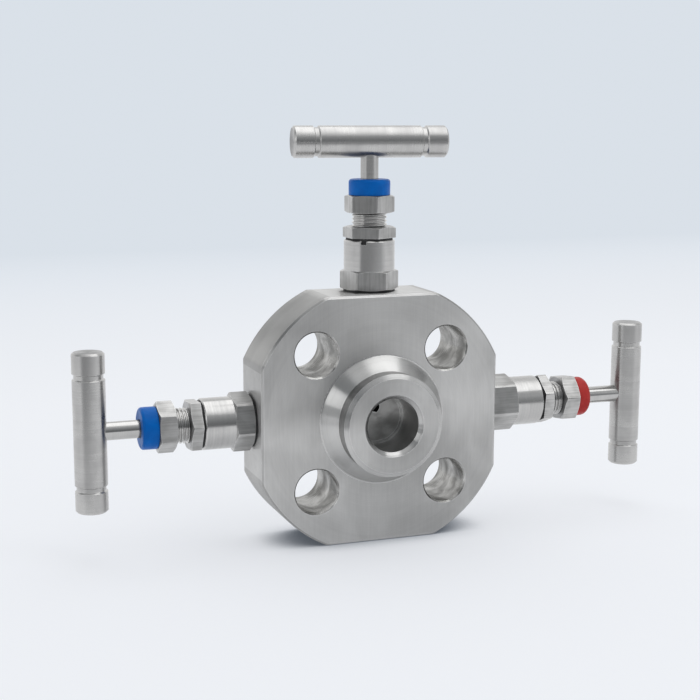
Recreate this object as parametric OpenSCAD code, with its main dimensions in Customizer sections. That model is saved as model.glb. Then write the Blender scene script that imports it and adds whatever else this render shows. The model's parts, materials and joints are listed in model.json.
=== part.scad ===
// Monoflange valve: a thick process flange with two block valves and one vent valve
// screwed into its rim. Each valve is a needle valve with a T-bar handle.
// The origin is the centre of the raised sealing face. +Y points out of that face, toward
// the process pipe, -Y is the instrument side, and +Z is up. The bottom flat is the foot.
// Every valve is drawn once, standing along +Z from the flange axis, and then placed.

/* [Flange] */
// Outside diameter of the disc
flange_od = 117.3; // [110:0.1:125]
// Thickness of the disc without the raised face and the hub
flange_t = 28.5; // [26:0.5:36]
// Distance between opposite flats on the rim
flat_af = 106.4; // [104:0.2:109]
// Chamfer along both rims of the disc
rim_chamfer = 0.9; // [0.3:0.1:2]
// Diameter of the raised sealing face
raised_d = 42.9; // [36:0.1:50]
// Height of the raised sealing face
raised_h = 1.6; // [0.5:0.1:4]
// Diameter of the circle through the bolt holes
bolt_pcd = 82.6; // [80:0.1:85]
// Diameter of each bolt hole
bolt_hole_d = 19.05; // [14:0.05:20]
// Chamfer at both mouths of each bolt hole
bolt_chamfer = 0.6; // [0.2:0.1:1.5]

/* [Hub] */
// Diameter of the hub where it meets the disc
hub_base_d = 55.2; // [50:0.1:60]
// Diameter of the straight neck of the hub
hub_neck_d = 43.8; // [36:0.1:48]
// Height of the cone at the foot of the hub
hub_cone_h = 6.5; // [3:0.1:9]
// Height of the hub above the disc
hub_h = 14.5; // [12:0.1:20]
// Width of the chamfer around the end face of the hub
hub_chamfer_w = 1.9; // [0.5:0.1:3]
// Depth of the chamfer around the end face of the hub
hub_chamfer_h = 1.3; // [0.5:0.1:3]
// Fillet between the hub and the disc
hub_fillet = 1.2; // [0.5:0.1:2.5]

/* [Ports] */
// Diameter of the instrument port in the hub
port_d = 22.9; // [18:0.1:26]
// Depth of the instrument port
port_depth = 19; // [14:0.1:20]
// Diameter of the chamfered mouth of the instrument port
port_mouth_d = 26.4; // [26.2:0.1:30]
// Depth of the chamfer at the mouth of the instrument port
port_mouth_h = 1.7; // [0.5:0.1:3]
// Diameter of the shallow relief below the instrument port
relief_d = 21.2; // [14:0.1:22]
// Depth of the shallow relief below the instrument port
relief_h = 1.2; // [0.5:0.1:2]
// Diameter of the process inlet in the raised face
inlet_d = 10; // [6:0.1:12]
// Chamfer at the mouth of the process inlet
inlet_chamfer = 0.8; // [0.3:0.1:1.5]
// Diameter of the vent port in the bottom flat
vent_d = 17.9; // [12:0.1:19]
// Depth of the vent port
vent_depth = 18; // [10:0.5:22]
// Diameter of the chamfered mouth of the vent port
vent_mouth_d = 21.4; // [20:0.1:23]
// Diameter of the drillings that join the valve chambers
passage_d = 4; // [3:0.1:4.5]
// Diameter of the drilling between the instrument port and the upper valve
port_passage_d = 4.8; // [3:0.1:5]
// Sideways offset of that drilling on the floor of the port
port_passage_x = 1.6; // [0:0.1:3]
// Height of that drilling above the port's centre on the floor
port_passage_z = 3.8; // [2.5:0.1:5]

/* [Valve seats] */
// Distance of the plane of the three valves from the back of the disc
valve_plane = 12; // [11:0.1:14]
// Diameter of the orifice that each needle closes
orifice_d = 4.5; // [3:0.1:5]
// Distance from the flange axis to the small end of each seat cone
seat_s = 23.6; // [22:0.1:25]
// Half angle of the seat cone and the needle, in degrees
seat_angle = 30; // [25:1:35]
// Diameter of the valve chamber above each seat
chamber_d = 12; // [10:0.1:14]
// Depth of the valve chamber
chamber_h = 7.4; // [6.5:0.1:9]

/* [Bonnet] */
// Diameter of the shank that screws into the flange
shank_d = 18; // [16:0.1:19]
// Size of the bonnet hexagon across its flats
bonnet_af = 22.3; // [21:0.1:24]
// Height of the bonnet hexagon of a block valve
bonnet_hex_h = 8.2; // [6:0.1:12]
// How far the corners of the bonnet hexagon are turned down
bonnet_corner_cut = 0.3; // [0.1:0.05:0.6]
// Extra height of the vent valve's bonnet hexagon
vent_extra = 5; // [0:0.1:8]
// Diameter of the round barrel of the bonnet
barrel_d = 21.8; // [20:0.1:22.2]
// Height of the round barrel of the bonnet
barrel_h = 12.9; // [9:0.1:16]
// Diameter of the black seal ring under the bonnet hexagon
seal_ring_d = 22; // [20:0.1:24]
// Height of the black seal ring under the bonnet hexagon
seal_ring_h = 0.9; // [0.8:0.1:2]

/* [Gland] */
// Diameter of the black ring between the barrel and the lock nut
dust_ring_d = 20; // [19:0.1:21.4]
// Height of the black ring between the barrel and the lock nut
dust_ring_h = 0.9; // [0.8:0.1:2]
// Width of the small tab that keys the black ring to the barrel
tab_w = 2; // [1:0.1:3]
// Depth that the tab reaches down into its notch in the barrel
tab_h = 1.4; // [0.8:0.1:2]
// Size of the lock nut across its flats
lock_nut_af = 20; // [19:0.1:22]
// Height of the lock nut
lock_nut_h = 4.7; // [3:0.1:7]
// Core diameter of the gland's thread
gland_core_d = 13.6; // [12.6:0.1:14.5]
// Length of gland thread left bare above the lock nut
gland_bare_h = 5.8; // [3:0.1:8]
// Size of the gland hexagon across its flats
gland_af = 19; // [17:0.1:21]
// Height of the gland hexagon
gland_hex_h = 7.4; // [5:0.1:9]
// Diameter of the packing chamber
packing_d = 12.8; // [11:0.1:13]
// Height of each packing ring
packing_ring_h = 2; // [1.5:0.1:2.2]
// Height of the washer below the packing rings
packing_washer_h = 1; // [0.6:0.1:1.2]
// Height of the follower that presses on the packing rings
follower_h = 1.5; // [1:0.1:2]

/* [Cap] */
// Diameter of the coloured plastic cap
cap_d = 17.7; // [16:0.1:19]
// Height of the coloured plastic cap
cap_h = 6.8; // [5:0.1:9]
// Radius of the rounded outer edge of a block valve's cap
cap_round = 1.3; // [0.5:0.1:2]
// Radius of the rounded outer edge of the vent valve's cap
vent_cap_round = 3; // [0.5:0.1:3.5]
// Thickness of the cap's end wall
cap_wall = 2.2; // [1.5:0.1:3]
// Diameter of the spigot on the gland that holds the cap
spigot_d = 11.6; // [9.5:0.1:12.5]

/* [Stem] */
// Diameter of the polished stem
stem_d = 7.6; // [6:0.1:7.8]
// Diameter of the stem's thread inside the bonnet
stem_thread_d = 8.6; // [8.3:0.1:9.4]
// Length of the stem's thread
stem_thread_h = 8.9; // [6:0.1:10]
// Full travel of the needle from its seat
travel = 7.5; // [6:0.1:8]
// How far the inlet valve on the left is open at rest
inlet_open = 4.7; // [0:0.1:6]
// How far the instrument valve on top is open at rest
instrument_open = 0; // [0:0.1:6]
// How far the vent valve on the right is open at rest
vent_open = 6.4; // [0:0.1:6.4]
// Diameter of the needle's body
needle_d = 7.2; // [6.8:0.1:8]
// Height of the needle's straight body
needle_h = 9.8; // [9:0.1:10.4]
// Diameter of the button on the stem that carries the needle
button_d = 4.8; // [4:0.1:5.2]
// Diameter of the neck behind the button
neck_d = 3.4; // [2.8:0.1:3.6]
// Height of the button
button_h = 2; // [1.5:0.1:3]
// Radius of the needle's blunt end
needle_end_r = 1.2; // [0.6:0.1:1.6]

/* [Handle] */
// Diameter of the T-bar
bar_d = 13.5; // [12:0.1:15]
// Length of the T-bar
bar_len = 66.4; // [60:0.1:72]
// Distance from the top of the cap to the T-bar's axis when the valve is closed
bar_reach = 15.6; // [13:0.1:20]
// Chamfer at both ends of the T-bar
bar_chamfer = 0.8; // [0.3:0.1:2]
// Distance of each groove's centre from the near end of the T-bar
groove_in = 10; // [8:0.1:14]
// Width of each groove at the surface
groove_w = 2.6; // [1.5:0.1:3]
// Depth of each groove
groove_depth = 0.7; // [0.4:0.1:1.4]
// Width of the sloping side at each edge of a groove
groove_slope = 0.5; // [0.2:0.1:0.7]
// Depth of the stem's socket beyond the T-bar's axis
socket_depth = 3.4; // [2:0.1:4]
// Turn of the upper T-bar away from the X axis, in degrees
bar_turn = -8; // [-20:1:20]
// Diameter of the grub screw that holds the T-bar on the stem
grub_d = 3; // [2.5:0.1:4]
// How far the grub screw bites into the stem
grub_bite = 0.4; // [0.2:0.1:0.8]

/* [Hexagon turns] */
// Turn of each bonnet hexagon: inlet, instrument, vent
bonnet_turns = [14.5, -14, -15]; // [-30:0.5:30]
// Turn of each lock nut: inlet, instrument, vent
lock_nut_turns = [-26.5, -30, 8.5]; // [-30:0.5:30]
// Turn of each gland hexagon: inlet, instrument, vent
gland_turns = [4, 27.5, 22.5]; // [-30:0.5:30]
// Turn of the black ring's tab from the front: inlet, instrument, vent
tab_turns = [150, -33, 150]; // [-180:1:180]
// Chamfer angle on the ends of every hexagon, in degrees
hex_chamfer_angle = 20; // [15:1:40]
// How far the turned end face of a hexagon stays inside its flats
hex_land = 0.15; // [0.1:0.05:0.6]
// How far the corners of the gland hexagon and the lock nut are turned down
hex_corner_cut = 0.1; // [0.05:0.05:0.3]

/* [Fits] */
// Radial clearance of a fit between pieces that don't move
fit_gap = 0.05; // [0.02:0.01:0.08]
// Radial clearance of a turning and sliding stem
running_gap = 0.05; // [0.03:0.01:0.1]
// Gap left between the needle's cone and its seat when closed
seat_gap = 0.3; // [0.2:0.05:0.5]
// End gap between parts that turn against each other
end_gap = 0.3; // [0.2:0.05:0.5]

/* [Hidden] */
$fn = 96;
eps = 0.01;
over = 1;
VALVES = ["inlet", "instrument", "vent"];
is_vent = [0, 0, 1];
opened = [inlet_open, instrument_open, vent_open];
cap_rounds = [cap_round, cap_round, vent_cap_round];
cap_colours = ["royalblue", "royalblue", "firebrick"];
bar_turns = [0, bar_turn, 0];
steel = "silver";
dark_steel = "darkgray";
black_rubber = [0.08, 0.08, 0.08];

plane_y = -(raised_h + valve_plane);
disc_front = raised_h + flange_t;
hub_front = disc_front + hub_h;
port_floor = hub_front - port_depth;
relief_floor = port_floor - relief_h;
drill_run_out = 0.5;
inlet_depth = -plane_y + orifice_d / 2 + drill_run_out;
bolt_place = bolt_pcd / 2 / sqrt(2);
flat_s = flat_af / 2;

seat_r = orifice_d / 2;
seat_mouth_r = needle_d / 2 - 0.2;
floor_s = seat_s + (seat_mouth_r - seat_r) / tan(seat_angle);
shoulder_s = floor_s + chamber_h;
link_s = floor_s + chamber_h / 2 + chamber_d / 2;
passage_wall = 4;
upper_orifice_in = inlet_d / 2 + passage_wall;

// Stations along a valve, from the flange axis; v is the valve's number
function shift(v) = is_vent[v] * vent_extra;
function hex_s(v) = flat_s + seal_ring_h;
function barrel_s(v) = hex_s(v) + bonnet_hex_h + shift(v);
function dust_s(v) = barrel_s(v) + barrel_h;
function nut_s(v) = dust_s(v) + dust_ring_h;
function bare_s(v) = nut_s(v) + lock_nut_h;
function gland_s(v) = bare_s(v) + gland_bare_h;
function cap_s(v) = gland_s(v) + gland_hex_h;
function cap_end_s(v) = cap_s(v) + cap_h;
function bar_s(v) = cap_end_s(v) + bar_reach + opened[v];

needle_tip_s = seat_s + seat_gap - (seat_r - needle_end_r) / tan(seat_angle);
needle_body_s = seat_s + seat_gap + (needle_d / 2 - seat_r) / tan(seat_angle);
needle_end_s = needle_body_s + needle_h;
collar_h = 3;
needle_room = 1.5;
button_s = needle_end_s - collar_h - end_gap - button_h;
function thread_s(v) = needle_end_s + end_gap + shift(v);
function backseat_s(v) = thread_s(v) + stem_thread_h + travel + end_gap;
function packing_s(v) = backseat_s(v) + 2;
packing_rings = 4;
function follower_s(v) = packing_s(v) + packing_washer_h + packing_rings * packing_ring_h;
function gland_end_s(v) = follower_s(v) + follower_h;
gland_nose_h = 2.5;
grub_socket_h = 1.2;
grub_recess = 0.6;
stem_bore_r = stem_d / 2 + running_gap;
spigot_h = cap_h - cap_wall - end_gap;

// Puts a piece that was drawn along -Y from the raised face into place
module along_flange() {
  rotate([90, 0, 0]) children();
}

// Puts valve v, drawn standing along +Z, at the left, on top or at the right of the flange
module place(v) {
  translate([0, plane_y, 0])
    rotate([0, [-90, 0, 90][v], 0])
      children();
}

// A ring or disc between two stations
module ring(s0, h, d_out, d_in) {
  translate([0, 0, s0])
    difference() {
      cylinder(h = h, d = d_out);
      translate([0, 0, -over]) cylinder(h = h + 2 * over, d = d_in);
    }
}

// A hexagon with turned-down corners, a turned chamfer at its outer end, and one bore.
// Its inner end has the chamfer too, unless it sits flat on the piece below.
module hexagon(s0, h, af, turn, bore_d, corner_cut, flat_end = false) {
  land_r = af / 2 - hex_land;
  corner_r = af / 2 / cos(30);
  outer_r = corner_r - corner_cut;
  cut_h = (outer_r - land_r) * tan(hex_chamfer_angle);
  inner_end = flat_end ? [[outer_r, 0]] : [[land_r, 0], [outer_r, cut_h]];
  outer_end = [[outer_r, h - cut_h], [land_r, h], [0, h]];
  translate([0, 0, s0])
    difference() {
      intersection() {
        rotate([0, 0, turn]) cylinder(h = h, r = corner_r, $fn = 6);
        rotate_extrude() polygon(concat([[0, 0]], inner_end, outer_end));
      }
      translate([0, 0, -over]) cylinder(h = h + 2 * over, d = bore_d);
    }
}

// Disc, hub and raised face as one turning, with the fillet where the hub meets the disc
module flange_turning() {
  r = flange_od / 2;
  c = rim_chamfer;
  neck_r = hub_neck_d / 2;
  base_r = hub_base_d / 2;
  corner = [base_r, disc_front];
  corner_angle = 180 - atan2(hub_cone_h, base_r - neck_r);
  fillet_leg = hub_fillet / tan(corner_angle / 2);
  fillet_centre = corner + [fillet_leg, hub_fillet];
  rotate_extrude() {
    polygon([
      [0, 0], [raised_d / 2, 0], [raised_d / 2, raised_h],
      [r - c, raised_h], [r, raised_h + c], [r, disc_front - c], [r - c, disc_front],
      corner, [neck_r, disc_front + hub_cone_h],
      [neck_r, hub_front - hub_chamfer_h], [neck_r - hub_chamfer_w, hub_front], [0, hub_front]
    ]);
    difference() {
      polygon([
        corner - [hub_fillet, hub_fillet / 2], corner + [fillet_leg, -hub_fillet / 2],
        corner + [fillet_leg, 0], fillet_centre,
        corner + fillet_leg * [cos(corner_angle), sin(corner_angle)]
      ]);
      translate(fillet_centre) circle(r = hub_fillet);
    }
  }
}

// Slab that leaves one pair of flats on the disc, with their chamfers
module flats() {
  s = flat_s;
  c = rim_chamfer;
  rotate([0, 90, 0])
    translate([0, 0, -flange_od])
      linear_extrude(height = 2 * flange_od)
        polygon([
          [over, -(s - c)], [-raised_h, -(s - c)], [-raised_h - c, -s],
          [-disc_front + c, -s], [-disc_front, -(s - c)], [-hub_front - over, -(s - c)],
          [-hub_front - over, s - c], [-disc_front, s - c], [-disc_front + c, s],
          [-raised_h - c, s], [-raised_h, s - c], [over, s - c]
        ]);
}

// One bolt hole with a chamfer at both mouths
module bolt_hole() {
  r = bolt_hole_d / 2;
  c = bolt_chamfer;
  translate([0, 0, raised_h - over]) cylinder(h = flange_t + 2 * over, r = r);
  translate([0, 0, raised_h - eps]) cylinder(h = c + eps, r1 = r + c + eps, r2 = r);
  translate([0, 0, disc_front - c]) cylinder(h = c + eps, r1 = r, r2 = r + c + eps);
}

// The threaded hole, chamber, seat cone and orifice of one valve
module valve_bore(inner_s) {
  translate([0, 0, shoulder_s]) cylinder(h = flat_s - shoulder_s + over, d = shank_d + 2 * fit_gap);
  translate([0, 0, flat_s - rim_chamfer])
    cylinder(h = rim_chamfer + eps, d1 = shank_d + 2 * fit_gap, d2 = shank_d + 2 * (fit_gap + rim_chamfer));
  translate([0, 0, floor_s]) cylinder(h = chamber_h + over, d = chamber_d);
  translate([0, 0, seat_s]) cylinder(h = floor_s - seat_s, r1 = seat_r, r2 = seat_mouth_r);
  translate([0, 0, inner_s]) cylinder(h = seat_s - inner_s + eps, d = orifice_d);
}

// A straight drilling between two points
module drilling(a, b, d) {
  v = b - a;
  l = norm(v);
  translate(a)
    rotate([0, acos(v[2] / l), atan2(v[1], v[0])])
      cylinder(h = l, d = d);
}

// The flange block with its hub, ports, bolt holes, valve bores and flow path
module flange_body() {
  meet_z = upper_orifice_in + seat_r;
  vent_in = inlet_d / 2 + passage_wall + passage_d / 2;
  vent_floor = flat_s - vent_depth;
  color(steel)
    difference() {
      intersection() {
        along_flange() flange_turning();
        along_flange() rotate([0, 0, 90]) flats();
        along_flange() flats();
      }
      along_flange() {
        for (x = [-1, 1], z = [-1, 1])
          translate([x * bolt_place, z * bolt_place, 0]) bolt_hole();
        translate([0, 0, -over]) cylinder(h = inlet_depth + over, d = inlet_d);
        translate([0, 0, -eps])
          cylinder(h = inlet_chamfer, d1 = inlet_d + 2 * inlet_chamfer, d2 = inlet_d);
        translate([0, 0, port_floor]) cylinder(h = port_depth + over, d = port_d);
        translate([0, 0, hub_front - port_mouth_h])
          cylinder(h = port_mouth_h + eps, d1 = port_d, d2 = port_mouth_d);
        translate([0, 0, relief_floor]) cylinder(h = relief_h + eps, d = relief_d);
      }
      place(0) valve_bore(inlet_d / 4);
      place(1) valve_bore(upper_orifice_in);
      place(2) valve_bore(vent_in);
      // The drilling from the floor of the instrument port up to the upper orifice
      drilling([-port_passage_x, -relief_floor - over, port_passage_z], [0, plane_y, meet_z], port_passage_d);
      // The two drillings that join the three chambers
      for (side = [-1, 1])
        drilling([side * (link_s - chamber_d / 4), plane_y, chamber_d / 4],
                 [side * chamber_d / 4, plane_y, link_s - chamber_d / 4], passage_d);
      // The vent port in the foot, and the drilling from it to the vent valve's orifice
      translate([0, plane_y, -flat_s - over]) cylinder(h = vent_depth + over, d = vent_d);
      translate([0, plane_y, -flat_s - eps])
        cylinder(h = (vent_mouth_d - vent_d) / 2 + eps, d1 = vent_mouth_d, d2 = vent_d);
      drilling([0, plane_y, -vent_floor - eps], [vent_in + seat_r, plane_y, 0], passage_d);
    }
}

// The bonnet: threaded shank, hexagon and barrel, bored for needle, thread, packing and gland
module bonnet(v) {
  barrel_r = barrel_d / 2;
  barrel_end_s = dust_s(v);
  edge = 0.5;
  nose_end_s = gland_end_s(v) + gland_nose_h;
  needle_r = needle_d / 2 + needle_room;
  thread_r = stem_thread_d / 2 + running_gap;
  packing_r = packing_d / 2 + fit_gap;
  gland_r = gland_core_d / 2 + fit_gap;
  color(steel)
    place(v)
      difference() {
        union() {
          translate([0, 0, shoulder_s]) cylinder(h = hex_s(v) - shoulder_s + eps, d = shank_d);
          hexagon(hex_s(v), bonnet_hex_h + shift(v), bonnet_af, bonnet_turns[v], stem_d, bonnet_corner_cut);
          rotate_extrude()
            polygon([
              [stem_d / 2, barrel_s(v) - eps], [barrel_r, barrel_s(v) - eps],
              [barrel_r, barrel_end_s - edge], [barrel_r - edge, barrel_end_s],
              [stem_d / 2, barrel_end_s]
            ]);
        }
        rotate_extrude()
          polygon([
            [0, shoulder_s - over], [needle_r, shoulder_s - over], [needle_r, needle_end_s],
            [thread_r, needle_end_s], [thread_r, backseat_s(v)], [stem_bore_r, backseat_s(v)],
            [stem_bore_r, packing_s(v)], [packing_r, packing_s(v)],
            [packing_r, nose_end_s - end_gap], [gland_r, nose_end_s - end_gap],
            [gland_r, barrel_end_s + over], [0, barrel_end_s + over]
          ]);
        tab_block(v, tab_h + over, 0.1);
      }
}

// The block that the black ring's tab fills, also used with a gap as its notch in the barrel
module tab_block(v, h, gap) {
  inner = dust_ring_d / 2 - tab_w;
  rotate([0, 0, tab_turns[v]])
    translate([-tab_w / 2 - gap, -barrel_d / 2 - over, dust_s(v) - tab_h - gap])
      cube([tab_w + 2 * gap, barrel_d / 2 + over - inner + gap, h + gap]);
}

// The black rubber ring between the flat and the bonnet hexagon
module seal_ring(v) {
  color(black_rubber) place(v) ring(flat_s, seal_ring_h, seal_ring_d, shank_d + 2 * fit_gap);
}

// The black ring below the lock nut, keyed to the barrel by its tab
module dust_ring(v) {
  color(black_rubber)
    place(v) {
      ring(dust_s(v), dust_ring_h, dust_ring_d, gland_core_d + 2 * fit_gap);
      intersection() {
        tab_block(v, tab_h + eps, 0);
        translate([0, 0, dust_s(v) - tab_h]) cylinder(h = tab_h + eps, d = dust_ring_d);
      }
    }
}

// The thin nut that locks the gland
module lock_nut(v) {
  color(steel)
    place(v)
      hexagon(nut_s(v), lock_nut_h, lock_nut_af, lock_nut_turns[v], gland_core_d + 2 * fit_gap,
              hex_corner_cut, true);
}

// The gland: nose, threaded core, hexagon and the spigot for the cap
module gland(v) {
  s0 = gland_end_s(v);
  color(steel)
    place(v)
      difference() {
        union() {
          translate([0, 0, s0]) cylinder(h = gland_nose_h + eps, d = packing_d);
          translate([0, 0, s0 + gland_nose_h]) cylinder(h = gland_s(v) - s0 - gland_nose_h, d = gland_core_d);
          hexagon(gland_s(v) - eps, gland_hex_h + eps, gland_af, gland_turns[v], stem_d, hex_corner_cut);
          translate([0, 0, cap_s(v) - eps]) cylinder(h = spigot_h + eps, d = spigot_d);
        }
        translate([0, 0, s0 - over]) cylinder(h = cap_end_s(v) - s0, r = stem_bore_r);
      }
}

// The steel washer that carries the packing
module packing_washer(v) {
  color(dark_steel)
    place(v) ring(packing_s(v), packing_washer_h, packing_d, 2 * stem_bore_r);
}

// The stack of packing rings around the stem
module packing_stack(v) {
  color("ivory")
    place(v)
      for (i = [0 : packing_rings - 1])
        ring(packing_s(v) + packing_washer_h + i * packing_ring_h, packing_ring_h - eps, packing_d, 2 * stem_bore_r);
}

// The ring that passes the gland's push on to the packing
module follower(v) {
  color(dark_steel)
    place(v) ring(follower_s(v), follower_h, packing_d, 2 * stem_bore_r);
}

// The coloured cap that keeps dirt out of the gland
module cap(v) {
  r = cap_d / 2;
  e = cap_rounds[v];
  color(cap_colours[v])
    place(v)
      translate([0, 0, cap_s(v)])
        rotate_extrude()
          difference() {
            union() {
              translate([0, 0]) square([r - e, cap_h]);
              square([r, cap_h - e]);
              translate([r - e, cap_h - e]) circle(r = e, $fn = 48);
            }
            translate([-over, -over]) square([over + spigot_d / 2 + fit_gap, over + spigot_h + end_gap]);
            translate([-over, -over]) square([over + stem_bore_r + fit_gap, over + cap_h + over]);
          }
}

// The stem: button, neck, thread, polished shaft and a flat for the grub screw
module stem(v) {
  lift = opened[v];
  shaft_s = needle_end_s + end_gap;
  top = bar_s(v) + socket_depth;
  color(steel)
    place(v)
      difference() {
        union() {
          translate([0, 0, lift + button_s]) cylinder(h = button_h, d = button_d);
          translate([0, 0, lift + button_s]) cylinder(h = shaft_s - button_s + eps, d = neck_d);
          translate([0, 0, lift + thread_s(v)]) cylinder(h = stem_thread_h, d = stem_thread_d);
          translate([0, 0, lift + shaft_s]) cylinder(h = top - lift - shaft_s, d = stem_d);
        }
        rotate([0, 0, bar_turns[v]])
          translate([0, 0, bar_s(v)])
            rotate([-90, 0, 0])
              translate([0, 0, stem_d / 2 - grub_bite])
                cylinder(h = stem_d, d = grub_d + 2 * fit_gap);
      }
}

// The needle, which hangs on the stem's button and doesn't turn with it
module needle(v) {
  slot_r = neck_d / 2 + running_gap;
  socket_r = button_d / 2 + running_gap;
  color(dark_steel)
    place(v)
      translate([0, 0, opened[v]])
        rotate_extrude()
          polygon([
            [0, needle_tip_s],
            [needle_end_r, needle_tip_s],
            [needle_d / 2, needle_body_s],
            [needle_d / 2, needle_end_s],
            [slot_r, needle_end_s],
            [slot_r, needle_end_s - collar_h],
            [socket_r, needle_end_s - collar_h],
            [socket_r, button_s - end_gap],
            [0, button_s - end_gap]
          ]);
}

// Half outline of the T-bar, turned about its own axis
module bar_turning() {
  r = bar_d / 2;
  l = bar_len / 2;
  g = l - groove_in;
  floor_r = r - groove_depth;
  top = groove_w / 2;
  bottom = top - groove_slope;
  rotate_extrude()
    polygon([
      [0, -l], [r - bar_chamfer, -l], [r, -l + bar_chamfer],
      [r, -g - top], [floor_r, -g - bottom], [floor_r, -g + bottom], [r, -g + top],
      [r, g - top], [floor_r, g - bottom], [floor_r, g + bottom], [r, g + top],
      [r, l - bar_chamfer], [r - bar_chamfer, l], [0, l]
    ]);
}

// The T-bar with the stem's socket and the grub screw's hole
module t_bar(v) {
  color(steel)
    place(v)
      translate([0, 0, bar_s(v)])
        rotate([0, 0, bar_turns[v]])
          difference() {
            rotate([0, 90, 0]) bar_turning();
            translate([0, 0, -bar_d]) cylinder(h = bar_d + socket_depth + fit_gap, d = stem_d + 2 * fit_gap);
            rotate([-90, 0, 0]) cylinder(h = bar_d, d = grub_d + 2 * fit_gap);
          }
}

// The grub screw behind the T-bar, with its hexagon socket
module grub_screw(v) {
  start = stem_d / 2 - grub_bite + fit_gap;
  end = bar_d / 2 - grub_recess;
  color(dark_steel)
    place(v)
      translate([0, 0, bar_s(v)])
        rotate([0, 0, bar_turns[v]])
          rotate([-90, 0, 0])
            difference() {
              translate([0, 0, start]) cylinder(h = end - start, d = grub_d);
              translate([0, 0, end - grub_socket_h]) cylinder(h = grub_socket_h + over, d = grub_d / 2, $fn = 6);
            }
}

flange_body();
for (v = [0 : 2]) {
  name = VALVES[v];
  bonnet(v);
  seal_ring(v);
  dust_ring(v);
  lock_nut(v);
  gland(v);
  packing_washer(v);
  packing_stack(v);
  follower(v);
  cap(v);
  stem(v);
  needle(v);
  t_bar(v);
  grub_screw(v);
}
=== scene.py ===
# %% [markdown]
# # A monoflange valve in stainless steel
# The real object is one thick turned flange with three small needle valves screwed into its
# rim. Nearly all of it is bare stainless steel, so a good picture of it is mostly a matter of
# what the steel reflects and of the fine marks that the tools left on it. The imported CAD
# model gives every solid at its exact size. This lesson adds what a solid can't hold: the
# rounded edges, the turned and milled finishes, the gland threads, and the plastic and rubber.

import json
import math

import bmesh
import bpy
from mathutils import Matrix, Vector

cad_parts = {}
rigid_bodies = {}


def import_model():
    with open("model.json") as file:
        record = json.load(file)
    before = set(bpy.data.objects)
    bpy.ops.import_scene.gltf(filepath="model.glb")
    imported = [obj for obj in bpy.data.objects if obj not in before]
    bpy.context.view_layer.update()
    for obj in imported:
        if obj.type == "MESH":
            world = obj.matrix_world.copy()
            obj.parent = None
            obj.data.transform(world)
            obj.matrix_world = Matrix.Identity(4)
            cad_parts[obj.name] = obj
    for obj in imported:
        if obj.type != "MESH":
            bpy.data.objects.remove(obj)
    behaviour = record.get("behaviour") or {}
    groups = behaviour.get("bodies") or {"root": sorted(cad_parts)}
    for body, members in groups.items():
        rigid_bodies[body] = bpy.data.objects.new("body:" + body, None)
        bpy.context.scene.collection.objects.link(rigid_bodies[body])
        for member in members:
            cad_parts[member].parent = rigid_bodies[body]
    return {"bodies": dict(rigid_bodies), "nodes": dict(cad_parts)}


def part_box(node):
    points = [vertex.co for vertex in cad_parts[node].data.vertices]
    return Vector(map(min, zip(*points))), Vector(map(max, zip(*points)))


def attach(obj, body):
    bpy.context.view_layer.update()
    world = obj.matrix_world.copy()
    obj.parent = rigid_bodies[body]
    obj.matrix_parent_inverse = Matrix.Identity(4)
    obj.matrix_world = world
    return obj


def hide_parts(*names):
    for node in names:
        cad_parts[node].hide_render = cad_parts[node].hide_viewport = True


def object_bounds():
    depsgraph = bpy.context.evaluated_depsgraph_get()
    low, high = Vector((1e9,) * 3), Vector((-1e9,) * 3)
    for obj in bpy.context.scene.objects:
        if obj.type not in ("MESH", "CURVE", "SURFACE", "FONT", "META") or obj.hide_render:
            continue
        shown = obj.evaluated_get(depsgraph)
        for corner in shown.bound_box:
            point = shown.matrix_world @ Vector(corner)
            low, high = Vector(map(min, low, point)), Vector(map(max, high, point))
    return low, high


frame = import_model()
bodies = frame["bodies"]
nodes = frame["nodes"]
cad_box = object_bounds()
print("CAD nodes:", len(nodes), "bodies:", sorted(bodies))

# %% [markdown]
# ## The camera
# The photo was taken from the left and a little above, from about 0.6 m. A camera can be set by
# eye over a background picture, but then each of its errors turns up in the pieces. So its place,
# its three angles and its focal length were solved from points whose real distances are known:
# the flange's flats, its holes and the ends of the T-bars. A focal length of 72 mm on a 36 mm
# sensor gives the photo's perspective on a square picture.

# %% The camera at the photo's place
CAMERA_PLACE = Vector((-0.21194, -0.57311, 0.12957))
CAMERA_YAW = 0.3485557
CAMERA_PITCH = 0.1694872
CAMERA_ROLL = 0.0020298
FOCAL_LENGTH = 72.16
SENSOR_WIDTH = 36
FLANGE_MIDDLE = Vector((0, -0.02, 0))

def camera_turn(yaw, pitch, roll):
    """The turn of a camera that looks along the yaw and down by the pitch."""
    forward = Vector((
        math.sin(yaw) * math.cos(pitch), math.cos(yaw) * math.cos(pitch), -math.sin(pitch)))
    right = Vector((math.cos(yaw), -math.sin(yaw), 0))
    up = right.cross(forward)
    rolled_right = math.cos(roll) * right + math.sin(roll) * up
    rolled_up = math.cos(roll) * up - math.sin(roll) * right
    return Matrix((rolled_right, rolled_up, -forward)).transposed().to_4x4()

camera = bpy.data.objects.new("camera", bpy.data.cameras.new("camera"))
camera.data.lens = FOCAL_LENGTH
camera.data.sensor_width = SENSOR_WIDTH
camera.data.clip_start = 0.01
camera.matrix_world = Matrix.Translation(CAMERA_PLACE) @ camera_turn(
    CAMERA_YAW, CAMERA_PITCH, CAMERA_ROLL)
bpy.context.scene.collection.objects.link(camera)
bpy.context.scene.camera = camera
bpy.context.scene.view_settings.view_transform = "Standard"
print("camera is", round((CAMERA_PLACE - FLANGE_MIDDLE).length, 3), "m away")

# %% [markdown]
# ## A short way to write shader nodes
# Materials are built from many small nodes. They could be wired by hand in the Shader Editor,
# but in a script they can be read, compared and built again. One helper adds a node and fills
# its sockets, four wrap the Math, Map Range and Mix nodes, and two make and place node groups.

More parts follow.
